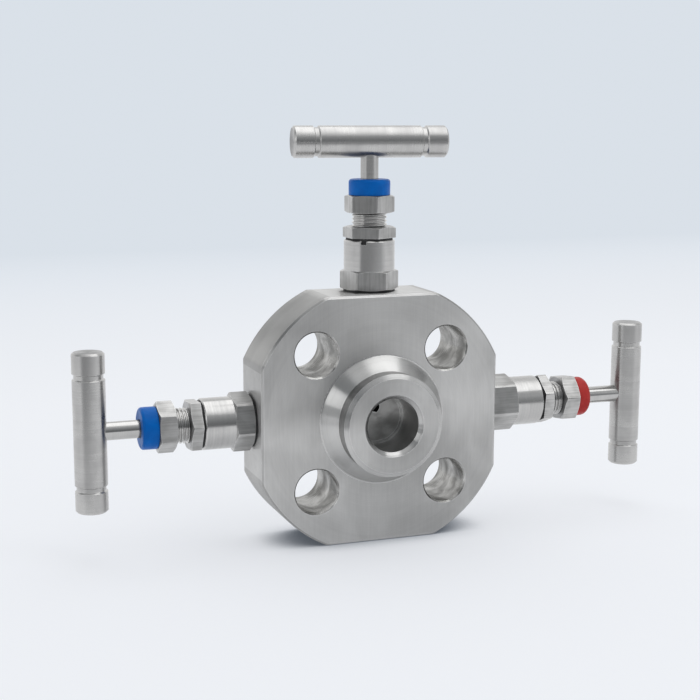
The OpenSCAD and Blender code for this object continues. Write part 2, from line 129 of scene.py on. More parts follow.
# %% Helpers for shader nodes
def add_node(tree, kind, inputs=None, **settings):
    """Adds a shader node. A socket given as an input is linked, and any other value is set."""
    made = tree.nodes.new("ShaderNode" + kind)
    for name, value in settings.items():
        setattr(made, name, value)
    for name, value in (inputs or {}).items():
        if isinstance(value, bpy.types.NodeSocket):
            tree.links.new(value, made.inputs[name])
        else:
            made.inputs[name].default_value = value
    return made

def calc(tree, operation, *values, clamp=False):
    """Adds a Math node over the values and gives back its output."""
    return add_node(
        tree, "Math", dict(enumerate(values)), operation=operation, use_clamp=clamp).outputs[0]

def remap(tree, value, low, high, new_low=0.0, new_high=1.0):
    """Brings a value from one range to another, smoothly and without leaving it."""
    made = add_node(
        tree, "MapRange",
        {"Value": value, "From Min": low, "From Max": high, "To Min": new_low, "To Max": new_high},
        interpolation_type="SMOOTHSTEP")
    return made.outputs["Result"]

def mix_value(tree, factor, first, second):
    """A value between two values."""
    return add_node(tree, "Mix", {"Factor": factor, "A": first, "B": second}).outputs["Result"]

def mix_colour(tree, factor, first, second):
    """A colour between two colours."""
    return add_node(
        tree, "Mix", {"Factor": factor, "A": first, "B": second},
        data_type="RGBA").outputs["Result"]

print("node helpers ready in Blender", bpy.app.version_string)

# %% Helpers for node groups
def new_group(name, inputs, outputs):
    """An empty shader group with named sockets. Gives back the group and its two end nodes."""
    group = bpy.data.node_groups.new(name, "ShaderNodeTree")
    for label, kind, value in inputs:
        socket = group.interface.new_socket(label, in_out="INPUT", socket_type="NodeSocket" + kind)
        if value is not None:
            socket.default_value = value
    for label, kind in outputs:
        group.interface.new_socket(label, in_out="OUTPUT", socket_type="NodeSocket" + kind)
    return group, group.nodes.new("NodeGroupInput"), group.nodes.new("NodeGroupOutput")

def use_group(tree, group, **values):
    """Places a group in a material. Spaces in a socket's name are written as underscores."""
    placed = tree.nodes.new("ShaderNodeGroup")
    placed.node_tree = group
    for label, value in values.items():
        socket = placed.inputs[label.replace("_", " ")]
        if isinstance(value, bpy.types.NodeSocket):
            tree.links.new(value, socket)
        else:
            socket.default_value = value
    return placed

print("group helpers ready:", new_group.__name__, "and", use_group.__name__)

# %% [markdown]
# ## The room that the steel reflects
# Polished steel shows the room, so the room is the first material of this scene. The photo's
# cylinders tell what stood round the valve: a white table, a dark room in front above it, a
# white wall behind, and a gap between two light surfaces at the left. The room could be modelled
# as walls, or taken from a picture of a studio. Here the world is painted with it by the
# direction alone, because that takes a few numbers and each of them can be matched to one band of
# light on the cylinders. To the camera the world shows as the pale blue-grey of the
# backdrop, which needs no light.

# %% The parts of the room
BACKDROP = (0.700, 0.752, 0.812, 1)
# An angle on the table, and how far from it in degrees a part of the room begins and is full.
DARK_FRONT = (-103, 58, 30)
WHITE_WALL = (90, 100, 40)
LEFT_GAP = (195, 75, 35)

world = bpy.data.worlds.new("studio")
world.use_nodes = True
bpy.context.scene.world = world
sky = world.node_tree
sky.nodes.clear()

direction = add_node(sky, "TexCoord").outputs["Generated"]
height = add_node(sky, "SeparateXYZ", {0: direction}).outputs["Z"]

def facing_way(tree, vector, degrees, wide, narrow):
    """1 where a direction points along an angle on the table, and 0 where it points far away."""
    level = add_node(tree, "VectorMath", {0: vector, 1: (1, 1, 0)}, operation="MULTIPLY").outputs[0]
    level = add_node(tree, "VectorMath", {0: level}, operation="NORMALIZE").outputs[0]
    way = (math.cos(math.radians(degrees)), math.sin(math.radians(degrees)), 0)
    share = add_node(
        tree, "VectorMath", {0: level, 1: way}, operation="DOT_PRODUCT").outputs["Value"]
    return remap(tree, share, math.cos(math.radians(wide)), math.cos(math.radians(narrow)))

front = facing_way(sky, direction, *DARK_FRONT)
behind = facing_way(sky, direction, *WHITE_WALL)
leftward = facing_way(sky, direction, *LEFT_GAP)
print("dark front at", DARK_FRONT[0], "degrees, white wall at", WHITE_WALL[0])

# %% The room painted on the world
# Two heights, as the Z of a direction, and the brightness at the first and at the second.
SIDE_ROOM = (0.25, 1.0, 0.62, 0.80)
BACK_ROOM = (0.3, 1.0, 0.95, 0.80)
FRONT_CURVE = 1.8
FRONT_RISE = 0.66
FRONT_LOW = 0.20
# The heights between which the gap at the left opens and closes.
GAP_OPENS = (0.45, 0.62)
GAP_CLOSES = (0.90, 0.80)
GAP_BRIGHTNESS = 0.28
HORIZON = (0.0, -0.02)
BELOW_BRIGHTNESS = 0.66
COOL_LIGHT = (0.90, 0.95, 1.0, 1)
WHITE_LIGHT = (1.0, 1.0, 1.0, 1)

upper = calc(sky, "MAXIMUM", height, 0.0)
front_room = calc(
    sky, "MULTIPLY_ADD", calc(sky, "POWER", upper, FRONT_CURVE), FRONT_RISE, FRONT_LOW)
side_room = remap(sky, height, *SIDE_ROOM)
back_room = remap(sky, height, *BACK_ROOM)
left_gap = calc(sky, "MULTIPLY", leftward, remap(sky, height, *GAP_OPENS))
left_gap = calc(sky, "MULTIPLY", left_gap, remap(sky, height, *GAP_CLOSES))
room = mix_value(sky, behind, side_room, back_room)
room = mix_value(sky, left_gap, room, GAP_BRIGHTNESS)
room = mix_value(sky, front, room, front_room)
room = mix_value(sky, remap(sky, height, *HORIZON), room, BELOW_BRIGHTNESS)
tint = mix_colour(sky, room, COOL_LIGHT, WHITE_LIGHT)
seen = add_node(sky, "LightPath").outputs["Is Camera Ray"]
room_light = add_node(sky, "Background", {"Color": tint, "Strength": room})
backdrop = add_node(sky, "Background", {"Color": BACKDROP, "Strength": 1.0})
joined = add_node(sky, "MixShader", {0: seen, 1: room_light.outputs[0], 2: backdrop.outputs[0]})
sky.links.new(joined.outputs[0], add_node(sky, "OutputWorld").inputs["Surface"])
print("the world is painted with", len(sky.nodes), "nodes")

# %% [markdown]
# ## The soft lamps
# A studio lights steel with softboxes, because a small lamp would show in it as a hard dot. A
# softbox is an area lamp. How bright it looks in the steel follows from its power and its size
# together, so each lamp is given by the radiance that it should have, and its power is worked out.
# At a radiance of about 1 a lamp shows as white, so all three stay at a plain level. The large one
# hangs overhead and is turned, because its edge lies slanted in the photo's reflections.

# %% Three soft lamps
def soft_lamp(name, place, target, width, length, radiance, colour=(1, 1, 1), turn=0.0):
    """A rectangular lamp that faces the target. Its power follows from how bright it looks."""
    lamp = bpy.data.lights.new(name, "AREA")
    lamp.shape = "RECTANGLE"
    lamp.size = width
    lamp.size_y = length
    lamp.energy = radiance * math.pi * width * length
    lamp.color = colour
    holder = bpy.data.objects.new(name, lamp)
    holder.location = place
    aimed = (Vector(target) - Vector(place)).to_track_quat("-Z", "Y").to_matrix().to_4x4()
    holder.rotation_euler = (Matrix.Rotation(turn, 4, "Z") @ aimed).to_euler()
    holder.visible_camera = False
    bpy.context.scene.collection.objects.link(holder)
    return holder

OVERHEAD = (0.303, -0.059, 0.95)
BELOW_OVERHEAD = (OVERHEAD[0], OVERHEAD[1] + 0.0001, 0)
OVERHEAD_TURN = math.radians(29)
lamps = [
    soft_lamp("lamp_overhead", OVERHEAD, BELOW_OVERHEAD, width=0.72, length=1.45,
              radiance=1.02, turn=OVERHEAD_TURN),
    soft_lamp("lamp_right", (0.98, -0.78, 0.34), (0, 0, 0.02), width=0.60, length=0.55,
              radiance=0.4, colour=(0.97, 0.98, 1)),
    soft_lamp("lamp_left", (-0.95, -0.28, 0.44), (0, 0, 0), width=0.55, length=0.45,
              radiance=0.75)]
for lamp in lamps:
    print(lamp.name, round(lamp.data.energy, 2), "W")

# %% [markdown]
# ## The white table
# The valve stands on a white sheet that fades into the backdrop. A curved sheet behind the object
# is the usual way to do that. A flat round table whose colour turns into the backdrop with the
# distance does the same from every side, and it has no bend that the steel could reflect.
# The table has two jobs, and Light Path keeps them apart. The camera sees pale paper with the
# valve's shadow on it. The steel sees a table with painted light and shade, as it was lit in the
# studio: darker at the front left, where the camera stood, darker towards the front edge, and with
# a painted shadow of the block close round it.

# %% The table's mesh
FLOOR_Z = cad_box[0][2]
TABLE_REACH = 3.0

table_mesh = bpy.data.meshes.new("table")
shape = bmesh.new()
bmesh.ops.create_circle(shape, cap_ends=True, segments=96, radius=TABLE_REACH)
shape.to_mesh(table_mesh)
shape.free()
table = bpy.data.objects.new("table", table_mesh)
table.location = (0, 0, FLOOR_Z - 0.0001)
bpy.context.scene.collection.objects.link(table)
print("table at z", round(FLOOR_Z, 4), "and", TABLE_REACH, "m to its edge")

# %% What the camera sees of the table
PAPER = (0.91, 0.93, 0.975, 1)
GLOW_NEAR = 0.50
# Distances behind the valve in metres where each change begins and ends. To the sides and the
# front the changes come later.
PAPER_FADES = (0.30, 1.25)
GLOW_GROWS = (0.25, 1.1)
SIDES_LATER = 0.4

table_paint = bpy.data.materials.new("table_paint")
table_paint.use_nodes = True
tree = table_paint.node_tree
tree.nodes.clear()
spot = add_node(tree, "TexCoord").outputs["Object"]
depth = add_node(tree, "SeparateXYZ", {0: spot}).outputs["Y"]
rays = add_node(tree, "LightPath")
reach = add_node(tree, "VectorMath", {0: spot}, operation="LENGTH").outputs["Value"]
away = calc(tree, "MAXIMUM", depth, calc(tree, "SUBTRACT", reach, SIDES_LATER))
far = add_node(tree, "MapRange", {
    "Value": away, "From Min": PAPER_FADES[0], "From Max": PAPER_FADES[1]}).outputs[0]
farther = remap(tree, away, *GLOW_GROWS)
pale = mix_colour(tree, far, PAPER, BACKDROP)
glow_share = mix_value(tree, farther, GLOW_NEAR, 1.0)
print("the paper glows by", GLOW_NEAR, "near the valve and fully far behind it")

# %% What the steel sees of the table
# The table's colours in the steel's reflections are painted light and shade: a painted shadow of
# the block close round it, a dark front edge and a shaded front left.
BLOCK_SHADOW_IN_STEEL = (0.74, 0.75, 0.77, 1)
TABLE_IN_STEEL = (0.96, 0.965, 0.98, 1)
FRONT_EDGE_IN_STEEL = (0.28, 0.285, 0.295, 1)
SHADED_IN_STEEL = (0.34, 0.345, 0.355, 1)
FRONT_EDGE = (-85, 60, 25)
TOWARD_DARK = (-0.866, -0.5, 0)
TOWARD_FRONT = (0.5, -0.866, 0)
# Distances in metres where each part of the table begins, and where it is reached in full.
SHADE_BEGINS = (0.20, 0.35)
SHADE_SIDE = (-0.10, 0.05)
EDGE_BEGINS = (0.30, 0.95)
BLOCK_SHADOW_ENDS = (0.05, 0.12)

toward_dark = add_node(
    tree, "VectorMath", {0: spot, 1: TOWARD_DARK}, operation="DOT_PRODUCT").outputs["Value"]
toward_front = add_node(
    tree, "VectorMath", {0: spot, 1: TOWARD_FRONT}, operation="DOT_PRODUCT").outputs["Value"]
shaded = calc(
    tree, "MULTIPLY", remap(tree, toward_dark, *SHADE_BEGINS),
    remap(tree, toward_front, *SHADE_SIDE))
ahead = calc(
    tree, "MULTIPLY", remap(tree, reach, *EDGE_BEGINS), facing_way(tree, spot, *FRONT_EDGE))
# A painted shadow of the block on the table, seen only in the steel.
mirrored = mix_colour(tree, remap(tree, reach, *BLOCK_SHADOW_ENDS), BLOCK_SHADOW_IN_STEEL, TABLE_IN_STEEL)
mirrored = mix_colour(tree, ahead, mirrored, FRONT_EDGE_IN_STEEL)
mirrored = mix_colour(tree, shaded, mirrored, SHADED_IN_STEEL)
glow_colour = mix_colour(tree, rays.outputs["Is Glossy Ray"], pale, mirrored)
print("the shaded part lies toward", TOWARD_DARK[:2])

# %% [markdown]
# ## The shadow where the block stands
# The lamps alone give a soft shadow. Right under the block's rounded foot the photo has a much
# darker line, where hardly any light gets in. Ambient Occlusion measures that: it counts how much
# of the sky a point sees within 18 mm. It could be baked to a picture, but as a node it follows the
# block by itself. Where little sky is seen, the glow goes away and the paper is painted a dark
# bluish colour, a painted contact shadow.

# %% The table's shader
NOOK_DISTANCE = 0.018
# The colour of the painted contact shadow under the block's foot.
CONTACT_SHADOW_COLOUR = (0.36, 0.40, 0.46, 1)
# The share of the sky that a dark nook sees, and the share from which a spot lies open.
OPEN_AIR = (0.22, 0.90)
MATT_PAPER = (0.90, 0.92, 0.95, 1)
GLOW_IN_STEEL = 0.7

nook = add_node(tree, "AmbientOcclusion", {"Distance": NOOK_DISTANCE}, samples=8).outputs["AO"]
open_air = remap(tree, nook, *OPEN_AIR)
glow_share = calc(tree, "MULTIPLY", glow_share, rays.outputs["Is Camera Ray"])
glow_share = calc(tree, "MULTIPLY", glow_share, open_air)
glow_share = mix_value(tree, rays.outputs["Is Glossy Ray"], glow_share, GLOW_IN_STEEL)
shaded_in_steel = calc(tree, "MULTIPLY", shaded, rays.outputs["Is Glossy Ray"])
matt_colour = mix_colour(tree, shaded_in_steel, MATT_PAPER, SHADED_IN_STEEL)
# Painted contact shadow: the paper turns to this colour where it sees little sky.
matt_colour = mix_colour(tree, open_air, CONTACT_SHADOW_COLOUR, matt_colour)
matt = add_node(tree, "BsdfDiffuse", {"Color": matt_colour})
glow = add_node(tree, "Emission", {"Color": glow_colour, "Strength": 1.0})
mixed = add_node(tree, "MixShader", {0: glow_share, 1: matt.outputs[0], 2: glow.outputs[0]})
tree.links.new(mixed.outputs[0], add_node(tree, "OutputMaterial").inputs["Surface"])
table_mesh.materials.append(table_paint)
print("table paint has", len(tree.nodes), "nodes")

# %% [markdown]
# ## Turned marks
# A lathe leaves very fine rings round the axis that the piece was turned on. On a cylinder
# they lie one behind the other, and on a face they lie inside each other. A Wave texture draws
# rings too, but they are all alike. Here both kinds follow from one idea: a point's distance from
# the axis and its place along the axis go into a noise, and the angle doesn't. The group
# gives a height for the bump and a tone that changes from ring to ring.

# %% The group for turned marks
# A noise stays mostly between two values. Those become 0 and 1 of the tone.
RING_SPAN = (0.25, 0.75)
FINE_SHARE = 0.65

turned, start, end = new_group(
    "turned marks",
    [("Position", "Vector", None), ("Centre", "Vector", (0, 0, 0)), ("Axis", "Vector", (0, 0, 1)),
     ("Rings per mm", "Float", 1.5), ("Unevenness", "Float", 0.3)],
    [("Height", "Float"), ("Tone", "Float")])
offset = add_node(
    turned, "VectorMath", {0: start.outputs["Position"], 1: start.outputs["Centre"]},
    operation="SUBTRACT").outputs[0]
along = add_node(
    turned, "VectorMath", {0: offset, 1: start.outputs["Axis"]},
    operation="DOT_PRODUCT").outputs["Value"]
distance = add_node(turned, "VectorMath", {0: offset}, operation="LENGTH").outputs["Value"]
across = calc(turned, "SQRT", calc(
    turned, "MAXIMUM",
    calc(turned, "SUBTRACT", calc(turned, "MULTIPLY", distance, distance),
         calc(turned, "MULTIPLY", along, along)), 0.0))
fineness = calc(turned, "MULTIPLY", start.outputs["Rings per mm"], 1000.0)
rings = add_node(turned, "CombineXYZ", {
    "X": calc(turned, "MULTIPLY", across, fineness),
    "Y": calc(turned, "MULTIPLY", along, fineness)}).outputs[0]
print("a ring's place takes", len(turned.nodes), "nodes")

# %% The noises on the rings
fine = add_node(
    turned, "TexNoise", {"Vector": rings, "Scale": 1.0, "Detail": 3.0, "Roughness": 0.6},
    noise_dimensions="2D").outputs["Fac"]
broad = add_node(
    turned, "TexNoise", {"Vector": rings, "Scale": 0.15, "Detail": 1.0},
    noise_dimensions="2D").outputs["Fac"]
fade = add_node(
    turned, "TexNoise", {"Vector": offset, "Scale": 60.0, "Detail": 1.0}).outputs["Fac"]
strength = add_node(
    turned, "Mix", {"Factor": start.outputs["Unevenness"], "A": 1.0, "B": fade}).outputs["Result"]
both = calc(turned, "ADD", calc(turned, "MULTIPLY", fine, FINE_SHARE),
            calc(turned, "MULTIPLY", broad, 1 - FINE_SHARE))
turned.links.new(calc(turned, "MULTIPLY", both, strength), end.inputs["Height"])
turned.links.new(remap(turned, both, *RING_SPAN), end.inputs["Tone"])
print(turned.name, "has", len(turned.nodes), "nodes")

# %% [markdown]
# ## Milled grain
# The flats of the flange and the hexagons were milled and then brushed by hand, so their marks
# are straight and run one way. Fine lines could be cut into a mesh, but they are far smaller than
# any useful face. A noise that is stretched a lot along one direction gives them instead. The
# stretch is a vector, so that each material can choose the direction of its own grain.

# %% The group for straight grain
NOISE_SPAN = (0.3, 0.7)

grain, start, end = new_group(
    "straight grain",
    [("Position", "Vector", None), ("Stretch", "Vector", (1, 1, 1)),
     ("Lines per mm", "Float", 3.0)],
    [("Height", "Float"), ("Tone", "Float")])
scaled = add_node(
    grain, "VectorMath", {0: start.outputs["Position"], 1: start.outputs["Stretch"]},
    operation="MULTIPLY").outputs[0]
lines = add_node(
    grain, "TexNoise",
    {"Vector": scaled, "Scale": calc(grain, "MULTIPLY", start.outputs["Lines per mm"], 1000.0),
     "Detail": 3.0, "Roughness": 0.65}).outputs["Fac"]
grain.links.new(lines, end.inputs["Height"])
grain.links.new(remap(grain, lines, *NOISE_SPAN), end.inputs["Tone"])
print(grain.name, "has", len(grain.nodes), "nodes")

# %% [markdown]
# ## Worn and highlighted edges
# Handling rubs an edge bright before anything else. Here the edges are also painted brighter than
# worn steel would be, a painted highlight for the thin line of light that a rounded edge catches.
# Such edges could be painted by hand, or found by Geometry's Pointiness, which needs a dense mesh.
# A Bevel node works on any mesh: it gives the normal that a rounded edge would have. Where it turns
# away from the true normal there is an edge, so one minus their dot product is a mask. A little
# noise breaks it up, since wear is never even.

# %% The group for worn and highlighted edges
# How far the normal turns where wear begins and where it is full.
WEAR_BEGINS = (0.005, 0.12)
# Two values of the noise, and the share of the wear that is left at each.
BROKEN_UP = (0.25, 0.6, 0.45, 1.0)

edges, start, end = new_group(
    "worn edges",
    [("Position", "Vector", None), ("Width", "Float", 0.0004), ("Amount", "Float", 1.0)],
    [("Mask", "Float")])
rounded = add_node(edges, "Bevel", {"Radius": start.outputs["Width"]}, samples=4).outputs[0]
facing = add_node(edges, "NewGeometry").outputs["Normal"]
turned_by = calc(edges, "SUBTRACT", 1.0, add_node(
    edges, "VectorMath", {0: rounded, 1: facing}, operation="DOT_PRODUCT").outputs["Value"])
rubbed = add_node(edges, "TexNoise", {
    "Vector": start.outputs["Position"], "Scale": 900.0, "Detail": 3.0}).outputs["Fac"]
mask = calc(edges, "MULTIPLY", remap(edges, turned_by, *WEAR_BEGINS),
            remap(edges, rubbed, *BROKEN_UP))
edges.links.new(
    calc(edges, "MULTIPLY", mask, start.outputs["Amount"], clamp=True), end.inputs["Mask"])
print(edges.name, "has", len(edges.nodes), "nodes")

# %% [markdown]
# ## Soft patches
# No piece of steel has one even sheen. Wiping and handling leave cloudy patches, a few
# millimetres to a few centimetres wide, and a fine speckle. Smudges from a picture would repeat
# and would need the piece to be unwrapped. Noise by position does neither, so one group gives a
# cloud of any size and a speckle.

# %% The group for soft patches
patches, start, end = new_group(
    "soft patches",
    [("Position", "Vector", None), ("Size mm", "Float", 20.0)],
    [("Cloud", "Float"), ("Speckle", "Float")])
patch_scale = calc(patches, "DIVIDE", 1000.0, start.outputs["Size mm"])
cloud = add_node(patches, "TexNoise", {
    "Vector": start.outputs["Position"], "Scale": patch_scale, "Detail": 4.0,
    "Distortion": 0.4}).outputs["Fac"]
speckle = add_node(patches, "TexNoise", {
    "Vector": start.outputs["Position"], "Scale": 5200.0, "Detail": 2.0}).outputs["Fac"]
patches.links.new(remap(patches, cloud, *NOISE_SPAN), end.inputs["Cloud"])
patches.links.new(remap(patches, speckle, *NOISE_SPAN), end.inputs["Speckle"])
print(patches.name, "has", len(patches.nodes), "nodes")

# %% [markdown]
# ## Starting a material
# Every material here begins the same way: a Principled shader, its output, and the object's own
# coordinates in metres, which need no unwrapping and move with the piece. The colours are those
# of clean stainless steel and of its duller places, chosen by measuring the photo's tones.

# %% Helpers for materials
def start_material(name):
    """A new material with its Principled shader, its output and its object coordinates."""
    made = bpy.data.materials.new(name)
    made.use_nodes = True
    tree = made.node_tree
    tree.nodes.clear()
    shader = add_node(tree, "BsdfPrincipled")
    tree.links.new(shader.outputs[0], add_node(tree, "OutputMaterial").inputs["Surface"])
    return made, tree, shader, add_node(tree, "TexCoord").outputs["Object"]

def bump(tree, shader, height, depth, strength=1.0):
    """Gives the shader a bump of that depth in metres."""
    made = add_node(tree, "Bump", {"Height": height, "Strength": strength, "Distance": depth})
    tree.links.new(made.outputs[0], shader.inputs["Normal"])
    return made

STEEL = (0.56, 0.555, 0.545, 1)
STEEL_DARK = (0.46, 0.455, 0.45, 1)
# The edges' colour: brighter than worn steel, wear and a painted highlight together.
STEEL_WORN_AND_HIGHLIGHTED = (0.86, 0.86, 0.855, 1)
HEXAGON_DARK = (0.32, 0.318, 0.312, 1)
HEXAGON_LIGHT = (0.55, 0.547, 0.54, 1)
END_DARK = (0.28, 0.28, 0.282, 1)
END_LIGHT = (0.38, 0.38, 0.382, 1)
print("steel between", STEEL_DARK[:3], "and", STEEL[:3])

# %% [markdown]
# ## Turned steel with milled hexagons
# Bonnets, glands, stems and T-bars are all turned, each on its own axis. They differ in how
# fine the cut is and how much it was polished afterwards. The hexagons are bar stock with milled
# flats, a little darker and duller, with a grain along the axis. Hexagon and barrel could be two
# materials on chosen faces. One material that knows a point's distance along the axis needs no
# choice of faces, and a single function makes it for every piece.
#
# Turned rings also change the reflection. Each ring is a tiny groove that spreads light across
# itself, so a lamp is drawn out into a streak along a cylinder, and into a fan of light on a flat
# end. That is anisotropy. The tangent runs round the axis, and a rotation of a quarter turn lays
# the spread across the rings.

# %% Where on a turned piece a point lies
END_FROM = 0.95

def hexagon_and_end(tree, spot, centre, axis, hexagon):
    """Two masks: between two distances along the axis, and on the faces across it."""
    offset = add_node(tree, "VectorMath", {0: spot, 1: centre}, operation="SUBTRACT").outputs[0]
    beside = calc(tree, "ABSOLUTE", add_node(
        tree, "VectorMath", {0: offset, 1: axis}, operation="DOT_PRODUCT").outputs["Value"])
    on_hexagon = calc(tree, "MULTIPLY", calc(tree, "GREATER_THAN", beside, hexagon[0]),
                      calc(tree, "LESS_THAN", beside, hexagon[1]))
    normal = add_node(tree, "TexCoord").outputs["Normal"]
    on_end = calc(tree, "GREATER_THAN", calc(tree, "ABSOLUTE", add_node(
        tree, "VectorMath", {0: normal, 1: axis},
        operation="DOT_PRODUCT").outputs["Value"]), END_FROM)
    return on_hexagon, on_end

print("a face is an end where its normal follows the axis by", END_FROM)

# %% Turned steel round any axis
CYLINDER_SPREAD = 0.75
ACROSS_THE_RINGS = 0.25
# Roughness at a dark and at a light mark: shares of the piece's own, and that of its duller
# places, the hexagons and the end faces.
TURNED_DULL = (1.25, 0.85)
DULLER_PLACES = (0.38, 0.28)
WORN_DULL = 0.8

def turned_steel(name, centre, axis, rough, rings_per_mm, depth, hexagon=(0.0, 0.0), wear_and_highlight=0.8,
                 edge_mm=0.35):
    """Steel with turned marks round an axis, and milled marks between two distances along it.

    The roughness is that of the turned part, the depth of its marks is in metres, and a piece
    without wear and painted highlight keeps its edges as they are."""
    made, tree, shader, spot = start_material(name)
    marks = use_group(
        tree, turned, Position=spot, Centre=centre, Axis=axis, Rings_per_mm=rings_per_mm)
    stretch = tuple(1.0 - 0.95 * abs(part) for part in axis)
    milled = use_group(tree, grain, Position=spot, Stretch=stretch, Lines_per_mm=1.0)
    clouds = use_group(tree, patches, Position=spot, Size_mm=9.0)
    worn_and_highlighted = use_group(tree, edges, Position=spot, Width=edge_mm / 1000, Amount=wear_and_highlight)
    on_hexagon, on_end = hexagon_and_end(tree, spot, centre, axis, hexagon)
    dulled = calc(tree, "MAXIMUM", on_hexagon, on_end)

    mark = mix_value(tree, on_hexagon, marks.outputs["Tone"], milled.outputs["Tone"])
    tone = calc(tree, "ADD", calc(tree, "MULTIPLY", mark, 0.5),
                calc(tree, "MULTIPLY", clouds.outputs["Cloud"], 0.5))
    base = mix_colour(tree, on_hexagon, mix_colour(tree, tone, STEEL_DARK, STEEL),
                      mix_colour(tree, tone, HEXAGON_DARK, HEXAGON_LIGHT))
    base = mix_colour(tree, on_end, base, mix_colour(tree, tone, END_DARK, END_LIGHT))
    # Edges take the bright colour, for wear and as a painted highlight.
    tree.links.new(
        mix_colour(tree, worn_and_highlighted.outputs["Mask"], base, STEEL_WORN_AND_HIGHLIGHTED), shader.inputs["Base Color"])
    dull = remap(tree, tone, 0.0, 1.0, *(rough * share for share in TURNED_DULL))
    dull = mix_value(tree, dulled, dull, remap(tree, tone, 0.0, 1.0, *DULLER_PLACES))
    dull = mix_value(tree, worn_and_highlighted.outputs["Mask"], dull, rough * WORN_DULL)
    tree.links.new(dull, shader.inputs["Roughness"])
    shader.inputs["Metallic"].default_value = 1.0
    shader.inputs["Anisotropic"].default_value = CYLINDER_SPREAD
    shader.inputs["Anisotropic Rotation"].default_value = ACROSS_THE_RINGS
    tree.links.new(add_node(
        tree, "Tangent", direction_type="RADIAL", axis="Z" if axis[2] else "X").outputs[0],
        shader.inputs["Tangent"])
    height = mix_value(tree, on_hexagon, marks.outputs["Height"], milled.outputs["Height"])
    bump(tree, shader, height, depth)
    return made

print("turned steel spreads light by", CYLINDER_SPREAD)

# %% [markdown]
# ## The steels of the three valves
# The three valves are alike, but each is turned round its own axis, so each gets its own set of
# four steels. A loop makes them from the same numbers. The vent valve's bonnet has a longer
# hexagon, and everything beyond it sits that much further out.

# %% Bonnet, gland, lock nut and stem of each valve
PLANE_Y = -0.0136
CENTRE = (0.0, PLANE_Y, 0.0)
BONNET_HEXAGON = (0.05, 0.0624)
GLAND_HEXAGON_FROM = 0.0866
PAST_THE_END = 0.2
valve_axes = {"inlet": (1, 0, 0), "instrument": (0, 0, 1), "vent": (1, 0, 0)}
vent_longer = {"inlet": 0.0, "instrument": 0.0, "vent": 0.005}
valve_steels = {}
for valve, axis in valve_axes.items():
    longer = vent_longer[valve]
    valve_steels[valve, "bonnet"] = turned_steel(
        "bonnet_steel_" + valve, CENTRE, axis, rough=0.21, rings_per_mm=1.4, depth=0.00001,
        hexagon=(BONNET_HEXAGON[0], BONNET_HEXAGON[1] + longer), edge_mm=0.5)
    valve_steels[valve, "gland"] = turned_steel(
        "gland_steel_" + valve, CENTRE, axis, rough=0.20, rings_per_mm=1.4, depth=0.00001,
        hexagon=(GLAND_HEXAGON_FROM + longer, PAST_THE_END), edge_mm=0.45)
    valve_steels[valve, "lock_nut"] = turned_steel(
        "lock_nut_steel_" + valve, CENTRE, axis, rough=0.24, rings_per_mm=2.0, depth=0.00001,
        hexagon=(BONNET_HEXAGON[0], PAST_THE_END), edge_mm=0.45)
    valve_steels[valve, "stem"] = turned_steel(
        "stem_steel_" + valve, CENTRE, axis, rough=0.13, rings_per_mm=2.5, depth=0.000003,
        wear_and_highlight=0.0)
print("turned steels:", len(valve_steels))

# %% [markdown]
# ## The flange block's steel
# One block carries several finishes. Its two faces were turned and then brushed, and are satin.
# Its hub cone, chamfers and port were cut finer and shine. The rim and the four flats are duller
# and a little darker. The bolt holes show the drill, and their walls and the port's floor are
# painted darker in patches, a painted shade for the inside of the holes. Each finish could be a
# material of its own on chosen faces. Here one material tells the places apart by the normal and by
# the distance from the axes, so it needs nothing from the mesh and stays right when the CAD model
# is built again.

# %% Directions and distances on the block
BOLT_OFFSET = 0.0292

block_steel, tree, shader, spot = start_material("block_steel")
facing = add_node(tree, "SeparateXYZ", {0: add_node(tree, "TexCoord").outputs["Normal"]})
forward = calc(tree, "ABSOLUTE", facing.outputs["Y"])
sideways = calc(tree, "ABSOLUTE", facing.outputs["X"])
upward = calc(tree, "ABSOLUTE", facing.outputs["Z"])
place = add_node(tree, "SeparateXYZ", {0: spot})
beside_x = calc(tree, "ABSOLUTE", place.outputs["X"])
beside_z = calc(tree, "ABSOLUTE", place.outputs["Z"])
radius = add_node(tree, "VectorMath", {0: add_node(tree, "CombineXYZ", {
    "X": place.outputs["X"], "Z": place.outputs["Z"]}).outputs[0]},
    operation="LENGTH").outputs["Value"]
# All four bolt holes are one hole when the signs of X and Z are left out.
quarter = add_node(tree, "CombineXYZ", {
    "X": beside_x, "Y": place.outputs["Y"], "Z": beside_z}).outputs[0]
from_bolt = add_node(tree, "VectorMath", {0: add_node(tree, "CombineXYZ", {
    "X": calc(tree, "SUBTRACT", beside_x, BOLT_OFFSET),
    "Z": calc(tree, "SUBTRACT", beside_z, BOLT_OFFSET)}).outputs[0]},
    operation="LENGTH").outputs["Value"]
print("bolt holes at", BOLT_OFFSET, "m beside and above the middle")

# %% Where on the block a point lies
# A normal counts as straight ahead or sideways from these shares on.
FACE_NORMAL = 0.992
FLAT_NORMAL = 0.9995
# Distances in metres from the flange's axis, from a bolt hole's axis, and along Y for the port.
HUB_REACH = 0.0295
FLAT_FROM = 0.045
RIM_FROM = 0.0578
BOLT_REACH = 0.0104
PORT_REACH = 0.0128
PORT_FRONT = -0.0440

